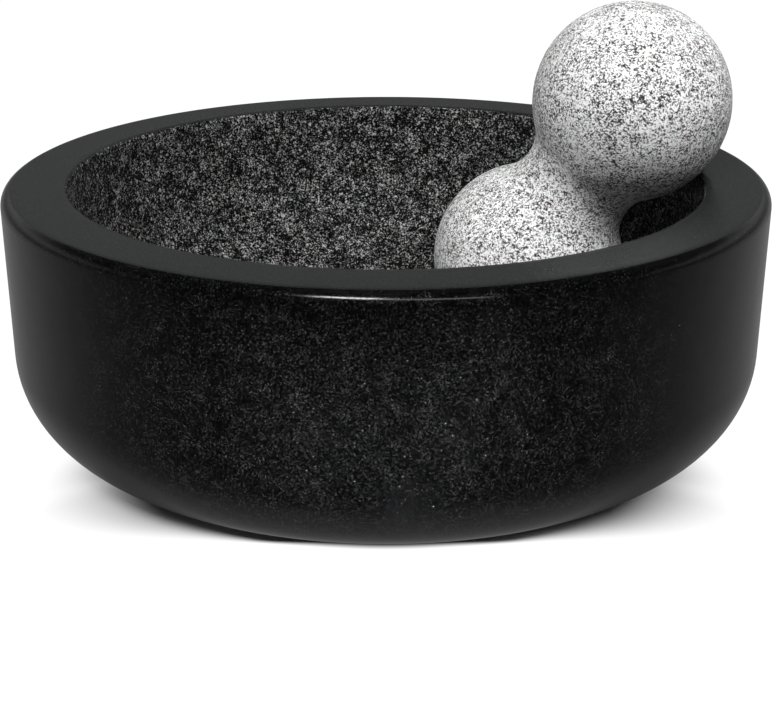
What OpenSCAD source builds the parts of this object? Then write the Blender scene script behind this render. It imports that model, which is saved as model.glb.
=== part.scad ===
// Molcajete: a wide, low bowl carved from one block of black granite, and the pestle that
// belongs to it (the tejolote), a double-ended dumbbell turned from one block of grey granite.
// The two stones are loose: the pestle leans in the hollow, with its lower ball on the floor
// and its upper ball against the mouth's edge, and it lifts straight up and out.
// Millimetres, +Z up, origin at the centre of the bowl's flat base.

/* [Bowl] */
// Diameter of the rim, which is the widest part of the bowl
rim_d = 240; // [232:1:260]
// Height from the base to the flat top of the rim
bowl_h = 83.5; // [78:0.5:100]
// Lean of the outer wall towards the foot, in degrees
wall_lean = 1.1; // [0:0.1:4]
// Radius of the big round between the outer wall and the base
foot_round = 33; // [15:1:33]
// Radius of the small round on the rim's outer edge
rim_round = 4; // [1:0.5:8]

/* [Hollow] */
// Diameter of the hollow at its mouth
mouth_d = 199; // [190:1:205]
// Depth of the hollow at its centre
hollow_depth = 67.5; // [60:0.5:70]
// Lean of the hollow's wall towards the floor, in degrees
hollow_lean = 3; // [0:0.5:6]
// Radius of the round between the hollow's wall and its floor
hollow_round = 44; // [34:1:46]
// Radius of the floor's shallow dish
dish_round = 500; // [350:10:1200]
// Radius of the small round on the mouth's edge
mouth_round = 1; // [0.5:0.1:2]

/* [Pestle] */
// Diameter of each ball
ball_d = 62.5; // [56:0.5:66]
// Length from end to end
pestle_len = 127; // [120:0.5:134]
// Diameter of the waist between the balls
waist_d = 37; // [30:0.5:42]

/* [Resting place of the pestle] */
// Distance from the bowl's axis to the centre of the lower ball
stand_off = 51; // [44:0.5:53]
// Side of the bowl on which the lower ball stands, in degrees from +X towards +Y
stand_dir = 22; // [-180:1:180]
// Direction in which the pestle leans, in degrees, counted from stand_dir
lean_turn = -47.5; // [-60:0.5:60]
// Gap left where each ball meets the bowl
rest_gap = 0.3; // [0.2:0.05:0.5]

/* [Hidden] */
$fn = 180;
eps = 1;

// The bowl's outline is a half section: radius first, height second.
rim_centre = [rim_d / 2 - rim_round, bowl_h - rim_round];
rim_tangent = rim_centre + rim_round * [cos(wall_lean), -sin(wall_lean)];
foot_x = rim_tangent.x - (rim_tangent.y - foot_round) * tan(wall_lean) - foot_round / cos(wall_lean);
foot_centre = [foot_x, foot_round];
foot_tangent = foot_centre + foot_round * [cos(wall_lean), -sin(wall_lean)];

// The hollow's wall starts as a tangent of the mouth's round.
mouth_centre = [mouth_d / 2 + mouth_round, bowl_h - mouth_round];
mouth_tangent = mouth_centre + mouth_round * [-cos(hollow_lean), sin(hollow_lean)];

// The round at the wall's foot touches the wall on one side and the dish on the other.
// Its centre lies on x = wall_x0 + height * tan(hollow_lean), dish_round - hollow_round
// from the dish's centre, which gives a quadratic in its height.
floor_z = bowl_h - hollow_depth;
dish_centre = [0, floor_z + dish_round];
wall_x0 = mouth_tangent.x - mouth_tangent.y * tan(hollow_lean) - hollow_round / cos(hollow_lean);
inset = dish_round - hollow_round;
quad_a = 1 + pow(tan(hollow_lean), 2);
quad_b = dish_centre.y - wall_x0 * tan(hollow_lean);
quad_c = pow(wall_x0, 2) + pow(dish_centre.y, 2) - pow(inset, 2);
corner_z = (quad_b - sqrt(pow(quad_b, 2) - quad_a * quad_c)) / quad_a;
corner_centre = [wall_x0 + corner_z * tan(hollow_lean), corner_z];
corner_tangent = corner_centre + hollow_round * [cos(hollow_lean), -sin(hollow_lean)];
past_dish = dish_centre + (corner_centre - dish_centre) * (dish_round + eps) / inset;

// The pestle's waist is one arc that touches both balls.
ball_r = ball_d / 2;
waist_r = waist_d / 2;
ball_offset = pestle_len / 2 - ball_r;
neck_arc = (pow(waist_r, 2) + pow(ball_offset, 2) - pow(ball_r, 2)) / (2 * (ball_r - waist_r));
neck_centre = [waist_r + neck_arc, 0];
neck_tangent = [0, ball_offset] + (neck_centre - [0, ball_offset]) * ball_r / (ball_r + neck_arc);

// The lower ball stands on the dish, and the pestle leans until the upper ball meets the mouth.
lean_dir = stand_dir + lean_turn;
ball_drop = sqrt(pow(dish_round - ball_r - rest_gap, 2) - pow(stand_off, 2));
lower_ball = [stand_off * cos(stand_dir), stand_off * sin(stand_dir), dish_centre.y - ball_drop];
function upper_ball(lean) =
    lower_ball + 2 * ball_offset * [sin(lean) * cos(lean_dir), sin(lean) * sin(lean_dir), cos(lean)];
function from_mouth(ball) =
    norm([norm([ball.x, ball.y]) - mouth_centre.x, ball.z - mouth_centre.y]) - mouth_round - ball_r;
function lean_between(low, high, steps) =
    let (middle = (low + high) / 2)
    steps == 0 ? middle
    : from_mouth(upper_ball(middle)) > rest_gap ? lean_between(middle, high, steps - 1)
    : lean_between(low, middle, steps - 1);
pestle_lean = lean_between(5, 60, 24);

module outer_profile() {
    polygon([
        [0, 0], [foot_centre.x, 0], foot_centre, foot_tangent,
        rim_tangent, rim_centre, [rim_centre.x, bowl_h], [0, bowl_h]
    ]);
    translate(foot_centre) circle(r = foot_round);
    translate(rim_centre) circle(r = rim_round);
}

module hollow_profile() {
    difference() {
        intersection() {
            translate(dish_centre) circle(r = dish_round);
            polygon([
                [0, floor_z - eps], past_dish, corner_centre, corner_tangent, mouth_tangent,
                mouth_centre, [mouth_centre.x, bowl_h + eps], [0, bowl_h + eps]
            ]);
        }
        translate(mouth_centre) circle(r = mouth_round);
    }
    translate(corner_centre) circle(r = hollow_round);
}

module half_ball() {
    intersection() {
        circle(r = ball_r);
        translate([0, -ball_r]) square([ball_r, 2 * ball_r]);
    }
}

module pestle_profile() {
    translate([0, ball_offset]) half_ball();
    translate([0, -ball_offset]) half_ball();
    difference() {
        polygon([
            [0, -ball_offset], [neck_tangent.x, -neck_tangent.y],
            [neck_tangent.x, neck_tangent.y], [0, ball_offset]
        ]);
        translate(neck_centre) circle(r = neck_arc);
    }
}

module bowl() {
    color([0.09, 0.09, 0.09])
    rotate_extrude()
    difference() {
        outer_profile();
        hollow_profile();
    }
}

module pestle() {
    color([0.72, 0.72, 0.71])
    translate(lower_ball)
    rotate([0, pestle_lean, lean_dir])
    translate([0, 0, ball_offset])
    rotate_extrude()
    pestle_profile();
}

bowl();
pestle();
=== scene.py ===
"""Looks of the molcajete: a turned bowl of black granite, polished outside, honed on its rim and
pecked in its hollow, and the double-ended pestle of light granite that leans in it."""

import math

import bpy
import numpy as np
from mathutils import Matrix, Quaternion, Vector


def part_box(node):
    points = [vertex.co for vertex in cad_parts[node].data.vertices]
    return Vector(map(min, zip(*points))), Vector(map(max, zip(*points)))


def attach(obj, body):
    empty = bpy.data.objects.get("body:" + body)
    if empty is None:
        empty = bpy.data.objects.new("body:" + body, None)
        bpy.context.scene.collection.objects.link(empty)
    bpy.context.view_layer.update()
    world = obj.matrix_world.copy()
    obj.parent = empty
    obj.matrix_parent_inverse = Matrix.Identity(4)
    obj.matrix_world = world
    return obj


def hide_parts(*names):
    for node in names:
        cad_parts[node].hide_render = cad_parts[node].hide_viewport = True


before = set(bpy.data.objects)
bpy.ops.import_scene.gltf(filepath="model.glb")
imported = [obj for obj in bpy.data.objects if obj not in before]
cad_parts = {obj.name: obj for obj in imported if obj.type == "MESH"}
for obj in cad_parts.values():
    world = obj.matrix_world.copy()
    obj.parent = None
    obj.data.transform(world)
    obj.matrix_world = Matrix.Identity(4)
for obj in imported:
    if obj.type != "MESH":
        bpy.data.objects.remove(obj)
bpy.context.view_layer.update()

MM = 0.001
bowl_low, bowl_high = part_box("bowl")
RIM_R = (bowl_high.x - bowl_low.x) / 2
RIM_Z = bowl_high.z

# The bowl's half section, as in the CAD
WALL_LEAN = math.radians(1.1)
FOOT_ROUND = 33 * MM
RIM_ROUND = 4 * MM
MOUTH_R = 99.5 * MM
HOLLOW_DEPTH = 67.5 * MM
HOLLOW_LEAN = math.radians(3)
HOLLOW_ROUND = 44 * MM
DISH_ROUND = 500 * MM
MOUTH_ROUND = 1 * MM

MOUTH_CENTRE = (MOUTH_R + MOUTH_ROUND, RIM_Z - MOUTH_ROUND)
DISH_Z = RIM_Z - HOLLOW_DEPTH

# The pestle's waist, as in the CAD
WAIST_R = 18.5 * MM

# Distance between the rings of points along the outlines
BASE_STEP = 8 * MM
FOOT_STEP = 2.2 * MM
WALL_STEP = 6 * MM
RIM_STEP = 0.6 * MM
MOUTH_STEP = 0.55 * MM
HOLLOW_STEP = 0.95 * MM
PESTLE_STEP = 0.62 * MM

# Points on a wide ring, and the radius within which their number halves
OUTSIDE_RINGS = (320, 40 * MM)
HOLLOW_RINGS = (640, 52 * MM)
PESTLE_RINGS = (384, 14 * MM)
MOST_HALVINGS = 5


# ---------------------------------------------------------------- outlines

def arc(centre, radius, start, end, step):
    """Points on a circle from the angle start to the angle end, about step apart."""
    count = max(2, math.ceil(abs(end - start) * radius / step))
    return [
        (centre[0] + radius * math.cos(a), centre[1] + radius * math.sin(a))
        for a in np.linspace(start, end, count + 1)
    ]


def line(start, end, step):
    """Points on a straight line, about step apart."""
    count = max(1, math.ceil(math.dist(start, end) / step))
    return [tuple(p) for p in np.linspace(start, end, count + 1)]


def joined(*runs):
    """One run of points, with the points that two runs share kept once."""
    points = list(runs[0])
    for run in runs[1:]:
        points += run[1:]
    return points


def outer_outline():
    """From the base's centre, up the outside and over the rim, to the mouth's round."""
    rim_centre = (RIM_R - RIM_ROUND, RIM_Z - RIM_ROUND)
    rim_low = (
        rim_centre[0] + RIM_ROUND * math.cos(WALL_LEAN),
        rim_centre[1] - RIM_ROUND * math.sin(WALL_LEAN),
    )
    foot_x = (
        rim_low[0]
        - (rim_low[1] - FOOT_ROUND) * math.tan(WALL_LEAN)
        - FOOT_ROUND / math.cos(WALL_LEAN)
    )
    base = line((0, 0), (foot_x, 0), BASE_STEP)
    foot = arc((foot_x, FOOT_ROUND), FOOT_ROUND, -math.pi / 2, -WALL_LEAN, FOOT_STEP)
    wall = line(foot[-1], rim_low, WALL_STEP)
    rim = arc(rim_centre, RIM_ROUND, -WALL_LEAN, math.pi / 2, RIM_STEP)
    flat = line(rim[-1], (MOUTH_CENTRE[0], RIM_Z), FOOT_STEP)
    return joined(base, foot, wall, rim, flat)


def hollow_outline():
    """From the mouth's round, down the hollow's wall and big round, to the dish's centre."""
    mouth = arc(MOUTH_CENTRE, MOUTH_ROUND, math.pi / 2, math.pi - HOLLOW_LEAN, MOUTH_STEP)
    # The big round touches the wall on one side and the dish on the other, as in the CAD
    slope = math.tan(HOLLOW_LEAN)
    wall_x = mouth[-1][0] - mouth[-1][1] * slope - HOLLOW_ROUND / math.cos(HOLLOW_LEAN)
    dish_centre = (0, DISH_Z + DISH_ROUND)
    inset = DISH_ROUND - HOLLOW_ROUND
    a = 1 + slope**2
    b = dish_centre[1] - wall_x * slope
    c = wall_x**2 + dish_centre[1] ** 2 - inset**2
    corner_z = (b - math.sqrt(b**2 - a * c)) / a
    corner = (wall_x + corner_z * slope, corner_z)
    meet = math.atan2(corner[1] - dish_centre[1], corner[0])
    side = arc(corner, HOLLOW_ROUND, -HOLLOW_LEAN, meet, HOLLOW_STEP)
    wall = line(mouth[-1], side[0], HOLLOW_STEP)
    dish = arc(dish_centre, DISH_ROUND, meet, -math.pi / 2, HOLLOW_STEP)
    dish[-1] = (0, DISH_Z)
    return joined(mouth, wall, side, dish)


def pestle_outline(ball_r, offset):
    """From the lower pole to the upper pole, with the pestle's middle at height 0."""
    neck_r = (WAIST_R**2 + offset**2 - ball_r**2) / (2 * (ball_r - WAIST_R))
    neck_x = WAIST_R + neck_r
    reach = math.atan2(offset, neck_x)
    low = arc((0, -offset), ball_r, -math.pi / 2, reach, PESTLE_STEP)
    neck = arc((neck_x, 0), neck_r, math.pi + reach, math.pi - reach, PESTLE_STEP)
    high = arc((0, offset), ball_r, -reach, math.pi / 2, PESTLE_STEP)
    points = joined(low, neck, high)
    points[0] = (0, -offset - ball_r)
    points[-1] = (0, offset + ball_r)
    return points


# ---------------------------------------------------------------- noise for real relief

def hashed(cell, seed):
    """One even random number from 0 to 1 for each whole-numbered cell. The multipliers are large
    odd numbers that mix the bits well."""
    c = cell.astype(np.int64).astype(np.uint32)
    h = c[..., 0] * np.uint32(73856093) ^ c[..., 1] * np.uint32(19349663)
    h ^= c[..., 2] * np.uint32(83492791) ^ np.uint32(seed * 2654435761 % 2**32)
    h ^= h >> np.uint32(15)
    h *= np.uint32(2246822519)
    h ^= h >> np.uint32(13)
    h *= np.uint32(3266489917)
    h ^= h >> np.uint32(16)
    return h.astype(np.float64) / 2**32


def lumps(points, size, seed):
    """Smooth noise from 0 to 1, with lumps about size across."""
    p = points / size
    low = np.floor(p)
    t = p - low
    t = t * t * (3 - 2 * t)
    total = np.zeros(len(p))
    for corner in np.ndindex(2, 2, 2):
        share = np.ones(len(p))
        for k in range(3):
            share = share * (t[:, k] if corner[k] else 1 - t[:, k])
        total += share * hashed(low + np.array(corner), seed)
    return total


def pits(points, size, reach, seed):
    """Scattered round pits, about size apart and reach times size in radius: how deep in a pit each
    point is, from 0 at its edge to 1 in its middle, and a random number for each pit."""
    p = points / size
    low = np.floor(p)
    nearest = np.full(len(p), np.inf)
    which = np.zeros(len(p))
    for corner in np.ndindex(3, 3, 3):
        cell = low + np.array(corner) - 1
        spot = cell + np.stack([hashed(cell, seed + k) for k in range(3)], 1)
        away = np.linalg.norm(p - spot, axis=1)
        closer = away < nearest
        which = np.where(closer, hashed(cell, seed + 7), which)
        nearest = np.where(closer, away, nearest)
    return np.clip(1 - (nearest / reach) ** 2, 0, 1), which


# ---------------------------------------------------------------- turned meshes

def add_object(name, data):
    obj = bpy.data.objects.new(name, data)
    bpy.context.scene.collection.objects.link(obj)
    return obj


def ring_counts(outline, full, full_from):
    """full points on wide rings, half as many inside full_from, and half again each time the
    radius halves. A ring of no radius is one point."""
    counts = []
    for r, _ in outline:
        halvings = 0
        while r < full_from / 2**halvings and halvings < MOST_HALVINGS:
            halvings += 1
        counts.append(full >> halvings if r > 1e-6 * MM else 1)
    return counts


def faces_between(low, high):
    """Faces that join two rings of points. One may be a single point, or have twice as many."""
    low_next, high_next = np.roll(low, -1), np.roll(high, -1)
    if len(low) == 1:
        return [(low[0], b, a) for a, b in zip(high, high_next)]
    if len(high) == 1:
        return [(a, b, high[0]) for a, b in zip(low, low_next)]
    if len(low) == len(high):
        return list(zip(low, low_next, high_next, high))
    faces = []
    if len(low) > len(high):
        for a, b, c, d, e in zip(low[::2], low[1::2], low_next[1::2], high, high_next):
            faces += [(a, b, d), (b, e, d), (b, c, e)]
    else:
        for a, b, c, d, e in zip(low, low_next, high[::2], high[1::2], high_next[1::2]):
            faces += [(a, d, c), (a, b, d), (b, e, d)]
    return faces


def turned(name, outline, counts, relief):
    """A closed mesh turned from an outline. counts gives each ring's number of points, and relief
    says how far each point moves along its own normal."""
    outline = np.array(outline)
    way = np.gradient(outline, axis=0)
    way /= np.linalg.norm(way, axis=1)[:, None]
    rows, normals, rings = [], [], []
    for (r, z), (dr, dz), n in zip(outline, way, counts):
        a = np.arange(n) * 2 * math.pi / n
        rings.append(sum(len(row) for row in rows) + np.arange(n))
        rows.append(np.stack([r * np.cos(a), r * np.sin(a), np.full(n, z)], 1))
        normals.append(np.stack([dz * np.cos(a), dz * np.sin(a), np.full(n, -dr)], 1))
    points = np.concatenate(rows)
    points = points + np.concatenate(normals) * relief(points)[:, None]
    faces = [face for low, high in zip(rings, rings[1:]) for face in faces_between(low, high)]
    mesh = bpy.data.meshes.new(name)
    mesh.from_pydata(points.tolist(), [], [tuple(int(i) for i in face) for face in faces])
    mesh.shade_smooth()
    return add_object(name, mesh)


# ---------------------------------------------------------------- node helpers

def new_material(name):
    material = bpy.data.materials.new(name)
    material.use_nodes = True
    tree = material.node_tree
    tree.nodes.clear()
    return material, tree, tree.nodes.new("ShaderNodeOutputMaterial")


def put(tree, socket, value):
    """Links a socket, or sets a plain value."""
    if isinstance(value, bpy.types.NodeSocket):
        tree.links.new(value, socket)
    else:
        socket.default_value = value


def node(tree, kind, settings=None, **inputs):
    """A node with its inputs given by name, with _ for a space."""
    made = tree.nodes.new(kind)
    for key, value in (settings or {}).items():
        setattr(made, key, value)
    for key, value in inputs.items():
        put(tree, made.inputs[key.replace("_", " ")], value)
    return made


def own_place(tree):
    """Where a point is in the object's own coordinates."""
    return node(tree, "ShaderNodeTexCoord").outputs["Object"]


def maths(tree, operation, a, b):
    made = node(tree, "ShaderNodeMath", {"operation": operation})
    put(tree, made.inputs[0], a)
    put(tree, made.inputs[1], b)
    return made.outputs[0]


def weighed(tree, *parts):
    """The sum of several values, each times its weight."""
    shares = [maths(tree, "MULTIPLY", value, weight) for value, weight in parts]
    total = shares[0]
    for share in shares[1:]:
        total = maths(tree, "ADD", total, share)
    return total


def remap(tree, value, low, high, to_low=0.0, to_high=1.0, smooth=True):
    """to_low where value is low or less, to_high where it is high or more, and between in between."""
    made = node(tree, "ShaderNodeMapRange", {"interpolation_type": "SMOOTHSTEP" if smooth else "LINEAR"},
                Value=value, From_Min=low, From_Max=high, To_Min=to_low, To_Max=to_high)
    return made.outputs["Result"]


def blend_value(tree, share, a, b):
    """a where share is 0 and b where it is 1."""
    made = node(tree, "ShaderNodeMix", {"data_type": "FLOAT"})
    put(tree, made.inputs[0], share)
    put(tree, made.inputs[2], a)
    put(tree, made.inputs[3], b)
    return made.outputs[0]


def blend_shader(tree, share, a, b):
    """The shader a where share is 0 and b where it is 1."""
    made = node(tree, "ShaderNodeMixShader")
    put(tree, made.inputs[0], share)
    put(tree, made.inputs[1], a)
    put(tree, made.inputs[2], b)
    return made.outputs[0]


def shifted(tree, where, shift, seed):
    """The coordinates moved by seed times shift, so that noises with different seeds differ."""
    moved = node(tree, "ShaderNodeVectorMath", {"operation": "ADD"})
    put(tree, moved.inputs[0], where)
    put(tree, moved.inputs[1], [seed * part for part in shift])
    return moved.outputs[0]


def grains(tree, where, size, seed):
    """Stone grains about size across: two random numbers for each, and the distance from its
    middle."""
    place = shifted(tree, where, (0.0137, 0.0219, 0.0171), seed)
    cell = node(tree, "ShaderNodeTexVoronoi", {"feature": "F1"}, Vector=place, Scale=1 / size)
    parts = node(tree, "ShaderNodeSeparateColor", Color=cell.outputs["Color"])
    return parts.outputs[0], parts.outputs[1], cell.outputs["Distance"]


def cloud(tree, where, size, detail, rough, seed):
    """Smooth noise from 0 to 1, with lumps about size across."""
    place = shifted(tree, where, (0.0173, 0.0131, 0.0239), seed)
    made = node(tree, "ShaderNodeTexNoise", Vector=place, Scale=1 / size, Detail=detail, Roughness=rough)
    return made.outputs["Fac"]


def grey(tree, value, tint=(1, 1, 1)):
    """A grey of the given brightness, tinted."""
    made = node(tree, "ShaderNodeVectorMath", {"operation": "SCALE"}, Scale=value)
    made.inputs[0].default_value = tint
    return made.outputs[0]


def ramp(tree, value, stops):
    """A grey whose brightness follows value through stops, each a place and a brightness."""
    made = node(tree, "ShaderNodeValToRGB", Fac=value)
    elements = made.color_ramp.elements
    elements[0].position = stops[0][0]
    elements[1].position = stops[-1][0]
    for at, _ in stops[1:-1]:
        elements.new(at)
    for element, (_, level) in zip(elements, stops):
        element.color = (level, level, level, 1)
    return made.outputs[0]


def finish_stone(tree, output, colour, rough, height, gloss):
    """Stone of the given colour and roughness. height is its fine relief, in metres."""
    bump = node(tree, "ShaderNodeBump", Height=height, Distance=1.0, Strength=1.0)
    shader = node(tree, "ShaderNodeBsdfPrincipled", Base_Color=colour, Roughness=rough, IOR=1.5,
                  Specular_IOR_Level=gloss, Normal=bump.outputs[0])
    put(tree, output.inputs[0], shader.outputs[0])


# ---------------------------------------------------------------- black granite

# Crystals on a cut face: sizes of the grains, of the laths and of the clusters in them, the noise
# between which they come up, and how bright they are
CRYSTAL_SIZE = 0.38 * MM
LATH_SIZE = 0.42 * MM
CLUSTER_SIZE = 5 * MM
CRYSTAL_DARK = 0.36
CRYSTAL_PALE = 0.84
CRYSTAL_POWER = 3.3
CRYSTAL_TONE = 0.037
BLACK_TONE = 0.0003

# Polished stone: roughness of the wall, of its rounded edge, and what a bright crystal adds, and
# the size and height of the waves that polishing leaves
WALL_ROUGH = 0.11
EDGE_ROUGH = 0.14
EDGE_BLUR = 1 * MM
CRYSTAL_ROUGH = 0.16
WAVE_SIZE = 14 * MM
WAVE_HEIGHT = 0.10 * MM
CLUSTER_HEIGHT = 0.010 * MM
LATH_HEIGHT = 0.006 * MM

# Honed stone
HONED_TONE = 0.0155
HONED_TINT = (0.93, 1.07, 1.0)
HONED_HEIGHT = 0.002 * MM
VEIL_SIZE = 9 * MM

# Pecked stone: sizes of the bruises and of the grains under them, and how bright they are
BRUISE_SIZE = 0.55 * MM
GRAIN_SIZE = 0.46 * MM
LARGE_GRAIN_SIZE = 1 * MM
DRIFT_SIZE = 6 * MM
BRUISE_DARK = 0.57
BRUISE_PALE = 0.80
BRUISE_POWER = 1.5
BRUISE_TONE = 0.58
GAP_TONE = 0.001
BRUISE_HEIGHT = 0.20 * MM
GRAIN_HEIGHT = 0.10 * MM

# The thin ragged line of stone at the mouth that is not pecked
UNPECKED_TONE = 0.030
UNPECKED_FROM = MOUTH_R + 0.10 * MM
UNPECKED_TO = MOUTH_R + 0.95 * MM
UNPECKED_BLUR = 0.06 * MM
RAGGED_SIZE = 0.9 * MM


def stone_crystals(tree, where):
    """The stone's own crystals on a cut face, from 0 to 1, with the laths and clusters in them."""
    pick, _, _ = grains(tree, where, CRYSTAL_SIZE, seed=1)
    clusters = cloud(tree, where, CLUSTER_SIZE, detail=2, rough=0.55, seed=3)
    laths = cloud(tree, where, LATH_SIZE, detail=1, rough=0.6, seed=4)
    mix = weighed(tree, (laths, 0.53), (pick, 0.29), (clusters, 0.22))
    shown = remap(tree, mix, CRYSTAL_DARK, CRYSTAL_PALE, smooth=False)
    return maths(tree, "POWER", shown, CRYSTAL_POWER), laths, clusters


def polished_granite():
    """Outer wall, foot and rounded edge: black, with dim crystals under the polish."""
    material, tree, output = new_material("granite_polished")
    where = own_place(tree)
    crystals, laths, clusters = stone_crystals(tree, where)
    tone = maths(tree, "ADD", maths(tree, "MULTIPLY", crystals, CRYSTAL_TONE), BLACK_TONE)
    z = node(tree, "ShaderNodeSeparateXYZ", Vector=where).outputs["Z"]
    edge_z = RIM_Z - RIM_ROUND
    least = remap(tree, z, edge_z - EDGE_BLUR, edge_z + EDGE_BLUR, WALL_ROUGH, EDGE_ROUGH)
    rough = maths(tree, "ADD", least, remap(tree, crystals, 0.0, 0.5, 0.0, CRYSTAL_ROUGH, smooth=False))
    waves = cloud(tree, where, WAVE_SIZE, detail=1, rough=0.5, seed=8)
    height = weighed(tree, (waves, WAVE_HEIGHT), (clusters, CLUSTER_HEIGHT), (laths, LATH_HEIGHT))
    finish_stone(tree, output, grey(tree, tone, (1.0, 1.005, 1.0)), rough, height, gloss=0.5)
    return material


def honed_granite():
    """Rim and base: the same stone ground flat but not polished."""
    material, tree, output = new_material("granite_honed")
    where = own_place(tree)
    crystals, laths, _ = stone_crystals(tree, where)
    veil = cloud(tree, where, VEIL_SIZE, detail=3, rough=0.6, seed=9)
    tone = maths(tree, "ADD", weighed(tree, (crystals, 0.004), (veil, 0.003)), HONED_TONE)
    rough = remap(tree, laths, 0.3, 0.7, 0.27, 0.33)
    height = maths(tree, "MULTIPLY", laths, HONED_HEIGHT)
    finish_stone(tree, output, grey(tree, tone, HONED_TINT), rough, height, gloss=0.11)
    return material


def pecked_granite():
    """The hollow: bruised crystals stand pale against dark gaps, up to a ragged line at the mouth."""
    material, tree, output = new_material("granite_pecked")
    where = own_place(tree)
    x, y, _ = node(tree, "ShaderNodeSeparateXYZ", Vector=where).outputs
    squares = maths(tree, "ADD", maths(tree, "MULTIPLY", x, x), maths(tree, "MULTIPLY", y, y))
    radius = maths(tree, "SQRT", squares, 0.0)
    ragged = cloud(tree, where, RAGGED_SIZE, detail=2, rough=0.6, seed=1)
    edge = remap(tree, ragged, 0.3, 0.7, UNPECKED_FROM, UNPECKED_TO, smooth=False)
    past_edge = maths(tree, "SUBTRACT", radius, edge)
    pecked = remap(tree, past_edge, -UNPECKED_BLUR, UNPECKED_BLUR, 1.0, 0.0)

    _, shade, from_middle = grains(tree, where, GRAIN_SIZE, seed=5)
    large, _, _ = grains(tree, where, LARGE_GRAIN_SIZE, seed=2)
    bruises = cloud(tree, where, BRUISE_SIZE, detail=1, rough=0.6, seed=5)
    drift = cloud(tree, where, DRIFT_SIZE, detail=3, rough=0.6, seed=6)
    mix = weighed(tree, (bruises, 0.60), (large, 0.14), (shade, 0.18), (drift, 0.24))
    pale = remap(tree, mix, BRUISE_DARK, BRUISE_PALE, smooth=False)
    bruised = maths(tree, "MULTIPLY", maths(tree, "POWER", pale, BRUISE_POWER), BRUISE_TONE)
    bruised = maths(tree, "ADD", bruised, GAP_TONE)
    tone = blend_value(tree, pecked, UNPECKED_TONE, bruised)
    height = weighed(tree, (bruises, BRUISE_HEIGHT), (from_middle, GRAIN_HEIGHT))
    finish_stone(tree, output, grey(tree, tone), 0.8, height, gloss=0.08)
    return material


# ---------------------------------------------------------------- light granite

# Sizes of the dark specks, of the larger crystals, and of the clusters and drifts of specks
SPECK_SIZE = 0.36 * MM
WORM_SIZE = 0.44 * MM
WHITE_CRYSTAL_SIZE = 0.85 * MM
SPECK_CLUSTER_SIZE = 4.5 * MM
SPECK_DRIFT_SIZE = 15 * MM

# The noise from specks to white crystals, and brightness along it
SPECK_DARK = 0.335
SPECK_PALE = 0.92
SPECK_TONES = (
    (0.0, 0.004), (0.16, 0.012), (0.28, 0.08), (0.38, 0.30), (0.50, 0.72), (0.62, 0.97), (1.0, 1.0),
)

# Fine relief
WORM_HEIGHT = 0.06 * MM
SPECK_HEIGHT = 0.03 * MM


def grey_granite():
    """White crystals, with many small dark ones in loose clusters."""
    material, tree, output = new_material("granite_light")
    where = own_place(tree)
    pick, _, from_middle = grains(tree, where, SPECK_SIZE, seed=1)
    large, _, _ = grains(tree, where, WHITE_CRYSTAL_SIZE, seed=2)
    worms = cloud(tree, where, WORM_SIZE, detail=1, rough=0.6, seed=3)
    clusters = cloud(tree, where, SPECK_CLUSTER_SIZE, detail=2, rough=0.6, seed=4)
    drift = cloud(tree, where, SPECK_DRIFT_SIZE, detail=1, rough=0.5, seed=5)
    mix = weighed(tree, (worms, 0.31), (pick, 0.37), (large, 0.20), (clusters, 0.26), (drift, 0.10))
    colour = ramp(tree, remap(tree, mix, SPECK_DARK, SPECK_PALE, smooth=False), SPECK_TONES)
    rough = remap(tree, worms, 0.3, 0.7, 0.62, 0.78)
    height = weighed(tree, (worms, WORM_HEIGHT), (from_middle, SPECK_HEIGHT))
    finish_stone(tree, output, colour, rough, height, gloss=0.3)
    return material


# ---------------------------------------------------------------- the bowl

# Relief of the hollow: pits, slow swells and grit, which fade out at the mouth's edge
PIT_SIZE = 2.3 * MM
PIT_DEPTH = 0.16 * MM
SWELL_SIZE = 7 * MM
SWELL_DEPTH = 0.16 * MM
GRIT_SIZE = 1.1 * MM
GRIT_DEPTH = 0.10 * MM
RELIEF_EDGE = MOUTH_R + 0.9 * MM
RELIEF_FADE = 0.5 * MM

# How thin the honed skin is on the rim and on the base
RIM_SKIN = 0.14 * MM
BASE_SKIN = 0.02 * MM

POLISHED, HONED, PECKED = range(3)


def bowl_relief(points):
    """Pecked hollow, with shallow overlapping pits. The outside stays smooth."""
    r = np.hypot(points[:, 0], points[:, 1])
    hollow = (r < RELIEF_EDGE) & (points[:, 2] > DISH_Z - 1 * MM)
    p = points[hollow]
    pit, which = pits(p, PIT_SIZE, reach=0.62, seed=11)
    depth = PIT_DEPTH * pit * (0.4 + 0.6 * which)
    depth += SWELL_DEPTH * lumps(p, SWELL_SIZE, seed=31)
    depth += GRIT_DEPTH * lumps(p, GRIT_SIZE, seed=41)
    moved = np.zeros(len(points))
    moved[hollow] = -depth * np.clip((RELIEF_EDGE - r[hollow]) / RELIEF_FADE, 0, 1)
    return moved


def bowl_finish(face):
    """Which of the bowl's three finishes a face has."""
    c = face.center
    if math.hypot(c.x, c.y) < MOUTH_CENTRE[0] and c.z > DISH_Z / 2:
        return PECKED
    if c.z > RIM_Z - RIM_SKIN or c.z < BASE_SKIN:
        return HONED
    return POLISHED


outside, inside = outer_outline(), hollow_outline()
bowl_counts = ring_counts(outside, *OUTSIDE_RINGS) + ring_counts(inside, *HOLLOW_RINGS)[1:]
bowl = turned("bowl_stone", joined(outside, inside), bowl_counts, bowl_relief)
for finish in (polished_granite, honed_granite, pecked_granite):
    bowl.data.materials.append(finish())
for face in bowl.data.polygons:
    face.material_index = bowl_finish(face)
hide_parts("bowl")
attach(bowl, "bowl")


# ---------------------------------------------------------------- the pestle

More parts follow.
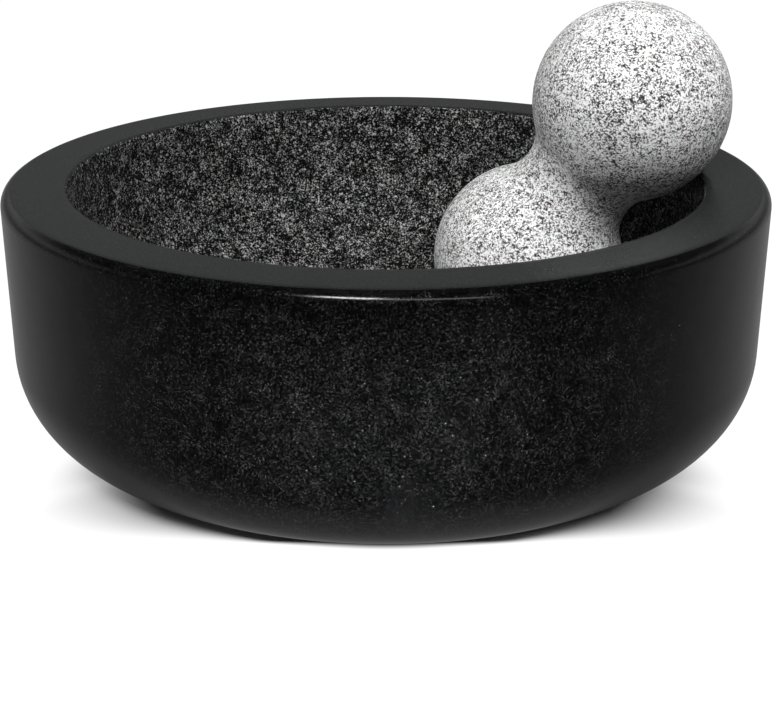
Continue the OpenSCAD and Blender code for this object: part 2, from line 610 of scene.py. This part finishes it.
# Relief of the ground stone: small chips, faint swells and grit
CHIP_SIZE = 2.6 * MM
CHIP_DEPTH = 0.10 * MM
CHIP_SHARE = 0.55
FAINT_SWELL_SIZE = 4 * MM
FAINT_SWELL_DEPTH = 0.05 * MM
FAINT_GRIT_SIZE = 1.2 * MM
FAINT_GRIT_DEPTH = 0.03 * MM

# The ends of the pestle, past this share of its half length, are all ball
BALL_FROM = 0.6


def ball_fit(points):
    """Centre and radius of the sphere that the points lie on."""
    rows = np.concatenate([2 * points, np.ones((len(points), 1))], 1)
    c = np.linalg.lstsq(rows, (points**2).sum(1), rcond=None)[0]
    return c[:3], math.sqrt(c[3] + (c[:3] ** 2).sum())


def pestle_balls():
    """Centres of the CAD pestle's lower and upper balls, and their radius, from its two ends."""
    points = np.array([v.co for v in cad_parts["pestle"].data.vertices], float)
    centred = points - (points.min(0) + points.max(0)) / 2
    axis = np.linalg.eigh(centred.T @ centred)[1][:, -1]
    along = centred @ (axis * np.sign(axis[2]))
    low, radius = ball_fit(points[along < along.min() * BALL_FROM])
    high, _ = ball_fit(points[along > along.max() * BALL_FROM])
    return low, high, radius


def pestle_relief(points):
    """Ground stone: a faint unevenness, and small pits where crystals broke out."""
    chip, which = pits(points, CHIP_SIZE, reach=0.26, seed=53)
    depth = FAINT_SWELL_DEPTH * lumps(points, FAINT_SWELL_SIZE, seed=61)
    depth += FAINT_GRIT_DEPTH * lumps(points, FAINT_GRIT_SIZE, seed=71)
    depth += CHIP_DEPTH * chip * (which > 1 - CHIP_SHARE)
    return -depth


low_centre, high_centre, ball_r = pestle_balls()
pestle_points = pestle_outline(ball_r, np.linalg.norm(high_centre - low_centre) / 2)
pestle_counts = ring_counts(pestle_points, *PESTLE_RINGS)
pestle = turned("pestle_stone", pestle_points, pestle_counts, pestle_relief)
lean = Vector(high_centre - low_centre).to_track_quat("Z", "Y").to_matrix().to_4x4()
pestle.data.transform(Matrix.Translation((low_centre + high_centre) / 2) @ lean)
pestle.data.materials.append(grey_granite())
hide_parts("pestle")
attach(pestle, "pestle")


# ---------------------------------------------------------------- floor

FLOOR_HALF = 6.0
FLOOR_SUNK = 0.05 * MM
FLOOR_BOUNCE = 0.015
FLOOR_SHOWN = 0.35
PAINTED_GLOW_LEVEL = 0.205
WHITE = 1.05

# The painted soft shadow drawn around the bowl, as distances from its axis: where it starts to clear
# and where it is gone, straight in front and further to the side
START_FRONT = 93.5 * MM
START_BESIDE = 97.5 * MM
END_FRONT = 98 * MM
END_BESIDE = 132 * MM
# How far its start and its end draw in again towards the bowl's sides
START_DRAWN_IN = 12.8 * MM
END_DRAWN_IN = 9 * MM
# How far it draws in beside the bowl, and as the polished stone mirrors it
BESIDE_DRAWN_IN = 16 * MM
MIRRORED_DRAWN_IN = 4 * MM

# The gloss sees a painted glow on the floor, in place of a lit floor's reflection, only within this
# distance, which fades out
MIRRORED_FROM = RIM_R - 8 * MM
MIRRORED_TO = RIM_R + 12 * MM


def painted_unshaded_share(tree, where, far, in_gloss):
    """Painted shadow: 0 in the soft shadow drawn around the bowl and 1 in the open. behind is -1 in
    front of the bowl and 1 behind it, and sideways is 0 in front and 1 from 60 degrees to the side on."""
    y = node(tree, "ShaderNodeSeparateXYZ", Vector=where).outputs["Y"]
    behind = maths(tree, "DIVIDE", y, far)
    sideways = remap(tree, behind, -1.0, -0.5, smooth=False)
    start = maths(tree, "ADD", remap(tree, sideways, 0.0, 0.15, START_FRONT, START_BESIDE),
                  remap(tree, sideways, 0.45, 1.0, 0.0, -START_DRAWN_IN))
    end = maths(tree, "ADD", remap(tree, sideways, 0.0, 0.8, END_FRONT, END_BESIDE),
                remap(tree, sideways, 0.8, 1.0, 0.0, -END_DRAWN_IN))
    drawn_in = maths(tree, "ADD", remap(tree, behind, -0.5, -0.2, 0.0, BESIDE_DRAWN_IN),
                     remap(tree, behind, 0.1, 0.6, 0.0, -BESIDE_DRAWN_IN))
    away = maths(tree, "ADD", far, drawn_in)
    away = maths(tree, "ADD", away, maths(tree, "MULTIPLY", in_gloss, MIRRORED_DRAWN_IN))
    return remap(tree, away, start, end)


def floor_material():
    """Pale floor with a painted soft shadow around the bowl's foot, which the gloss sees only as a
    painted glow close to the foot.
    """
    material, tree, output = new_material("floor_pale")
    geometry = node(tree, "ShaderNodeNewGeometry").outputs
    rays = node(tree, "ShaderNodeLightPath").outputs
    length = node(tree, "ShaderNodeVectorMath", {"operation": "LENGTH"})
    put(tree, length.inputs[0], geometry["Position"])
    far = length.outputs["Value"]
    # Painted shadow: a soft dark ring drawn by distance and direction from the bowl's axis, not cast by
    # the lamps
    painted_unshaded = painted_unshaded_share(tree, geometry["Position"], far, rays["Is Glossy Ray"])

    tone = blend_value(tree, rays["Is Camera Ray"], FLOOR_BOUNCE, FLOOR_SHOWN)
    shaded = node(tree, "ShaderNodeBsdfDiffuse", Color=grey(tree, tone)).outputs[0]
    white = node(tree, "ShaderNodeEmission", Strength=WHITE).outputs[0]
    # To the camera: white in the open, and the lamp-lit floor only inside the painted shadow
    shown_white = maths(tree, "MULTIPLY", painted_unshaded, rays["Is Camera Ray"])
    seen = blend_shader(tree, shown_white, shaded, white)

    # Painted reflection: to the gloss, the floor glows close to the foot, dimmed by the painted shadow,
    # instead of mirroring a lit floor
    near = remap(tree, far, MIRRORED_FROM, MIRRORED_TO, 1.0, 0.0)
    painted_glow_level = maths(tree, "MULTIPLY", painted_unshaded, PAINTED_GLOW_LEVEL)
    painted_glow = node(tree, "ShaderNodeEmission", Strength=painted_glow_level).outputs[0]
    clear = node(tree, "ShaderNodeBsdfTransparent").outputs[0]
    mirrored = blend_shader(tree, near, clear, painted_glow)
    from_above = blend_shader(tree, rays["Is Glossy Ray"], seen, mirrored)

    # It is clear from below, so that the base can be seen, and to light, so that the base is lit
    is_clear = maths(tree, "MAXIMUM", geometry["Backfacing"], rays["Is Shadow Ray"])
    put(tree, output.inputs[0], blend_shader(tree, is_clear, from_above, clear))
    return material


floor_mesh = bpy.data.meshes.new("floor")
corners = [(x * FLOOR_HALF, y * FLOOR_HALF, 0) for x, y in ((-1, -1), (1, -1), (1, 1), (-1, 1))]
floor_mesh.from_pydata(corners, [], [(0, 1, 2, 3)])
floor_mesh.materials.append(floor_material())
floor = add_object("floor", floor_mesh)
floor.location.z = -FLOOR_SUNK


# ---------------------------------------------------------------- world

# Light that reaches matt stone from all round
WORLD_FILL = 0.008
# What polished stone mirrors, as levels along an axis that are multiplied together
MIRRORED_WORLD = (
    # axis, from, to, level up to from, level past to
    ("Y", -0.65, 0.65, 0.014, 0.25),
    ("Z", -0.10, 0.08, 1.0, 0.55),
    ("Z", 0.10, 0.36, 1.0, 2.5),
    ("Z", 0.32, 0.56, 1.0, 0.12),
)


def studio_world():
    """White to the camera, and a dim fill with a soft bright band behind the bowl to the stone."""
    world = bpy.data.worlds.new("studio")
    world.use_nodes = True
    tree = world.node_tree
    tree.nodes.clear()
    output = tree.nodes.new("ShaderNodeOutputWorld")
    rays = node(tree, "ShaderNodeLightPath").outputs
    way = node(tree, "ShaderNodeTexCoord").outputs["Generated"]
    parts = node(tree, "ShaderNodeSeparateXYZ", Vector=way).outputs
    mirrored = 1.0
    for axis, low, high, at_low, at_high in MIRRORED_WORLD:
        step = remap(tree, parts[axis], low, high, at_low, at_high)
        mirrored = maths(tree, "MULTIPLY", mirrored, step)
    level = blend_value(tree, rays["Is Glossy Ray"], WORLD_FILL, mirrored)
    level = blend_value(tree, rays["Is Camera Ray"], level, WHITE)
    background = node(tree, "ShaderNodeBackground", Color=(1, 1, 1, 1), Strength=level)
    put(tree, output.inputs[0], background.outputs[0])
    return world


bpy.context.scene.world = studio_world()


# ---------------------------------------------------------------- lights

SOFTBOX_AWAY = 1.5
BEAM_AWAY = 1.2
BEAM_SOFT = 10 * MM
FRONT_BEAM_Z = 0.52 * RIM_Z
FRONT_BEAM_ASIDE = 38 * MM
BEHIND_BEAM_Z = 0.32 * RIM_Z

# Azimuth 0 is in front and 90 is on the right. Angles are in degrees.
SOFTBOXES = (
    # name, azimuth, elevation, width, height, radiance, roll, mirrored, lit objects
    ("key", -6, 44, 56, 14, 15.6, -24, False, (bowl, floor)),
    ("key_high", -8, 52, 56, 18, 12.9, -24, False, (pestle,)),
    ("side_left", -84, 14, 30, 16, 2.3, 0, False, (bowl, pestle, floor)),
    ("side_right", 114, 24, 30, 22, 2.6, 0, False, (bowl, floor)),
    ("side_right_high", 70, 50, 30, 22, 6.6, 0, False, (pestle,)),
    ("back", 180, 36, 44, 24, 1.5, 0, False, (bowl, floor)),
    ("back_high", 180, 12, 44, 24, 2.2, 0, False, (pestle,)),
    ("back_low", 180, 17, 64, 10, 5, 0, False, (bowl,)),
    ("edge_line", -13, 48, 15, 7, 26, -24, True, (bowl,)),
    ("edge_line_right", 12, 38, 34, 6, 3, -24, True, (bowl,)),
)


def softbox(name, azimuth, elevation, width, height, radiance, roll, mirrored, lit):
    """A soft light aimed at the bowl, which lights only some objects. Width and height are the
    angles that it fills. A mirrored one shows in the gloss and lights nothing else."""
    light = bpy.data.lights.new(name, "AREA")
    light.shape = "RECTANGLE"
    light.size = 2 * SOFTBOX_AWAY * math.tan(math.radians(width) / 2)
    light.size_y = 2 * SOFTBOX_AWAY * math.tan(math.radians(height) / 2)
    light.energy = radiance * math.pi * light.size * light.size_y
    lamp = add_object(name, light)
    e, a = math.radians(elevation), math.radians(azimuth)
    way = Vector((math.sin(a) * math.cos(e), -math.cos(a) * math.cos(e), math.sin(e)))
    lamp.location = Vector((0, 0, RIM_Z)) + way * SOFTBOX_AWAY
    lamp.rotation_euler = (Quaternion(way, math.radians(roll)) @ way.to_track_quat("Z", "Y")).to_euler()
    lamp.visible_camera = False
    lamp.visible_glossy = mirrored
    lamp.visible_diffuse = not mirrored
    group = bpy.data.collections.new(name + "_lights")
    for obj in lit:
        group.objects.link(obj)
    lamp.light_linking.receiver_collection = group


def beam(name, azimuth, elevation, height, energy, angle, aside=0, blend=1.0):
    """A narrow spot aimed at a height on the bowl's axis, or aside of it. The angle is its full
    width, and blend is how much of that is soft."""
    light = bpy.data.lights.new(name, "SPOT")
    light.energy = energy
    light.spot_size = math.radians(angle)
    light.spot_blend = blend
    light.shadow_soft_size = BEAM_SOFT
    lamp = add_object(name, light)
    around = Matrix.Rotation(math.radians(azimuth), 4, "Z")
    upward = Matrix.Rotation(math.radians(-elevation), 4, "X")
    outward = Matrix.Translation((aside, -BEAM_AWAY, 0)) @ Matrix.Rotation(math.pi / 2, 4, "X")
    lamp.matrix_world = Matrix.Translation((0, 0, height)) @ around @ upward @ outward
    lamp.visible_glossy = False


for spec in SOFTBOXES:
    softbox(*spec)

# Level beams bring out the wall's crystals, in front and behind, and one from below lights the base
for side in (-1, 0, 1):
    beam(f"beam_front_{side + 1}", 0, 0, FRONT_BEAM_Z, 120, 5.2, aside=side * FRONT_BEAM_ASIDE)
for azimuth in range(110, 251, 35):
    beam(f"beam_{azimuth}", azimuth, 0, BEHIND_BEAM_Z, 330, 5)
beam("beam_base", 0, -90, 0, 150, 8.4, blend=0.2)


# ---------------------------------------------------------------- camera

VIEW_DISTANCE = 4.4424 * RIM_R
VIEW_HEIGHT = 1.1435 * RIM_R
VIEW_ASIDE = 0.31 * MM
VIEW_DOWN = 0.3595
VIEW_LENS = 80.3

camera_data = bpy.data.cameras.new("camera")
camera_data.lens = VIEW_LENS
camera_data.sensor_width = 36
camera_data.clip_start = 0.01
camera_data.clip_end = 50
camera = add_object("camera", camera_data)
camera.location = (VIEW_ASIDE, -VIEW_DISTANCE, RIM_Z + VIEW_HEIGHT)
camera.rotation_euler = (math.pi / 2 - VIEW_DOWN, 0, 0)
bpy.context.scene.camera = camera

bpy.context.scene.view_settings.view_transform = "Standard"
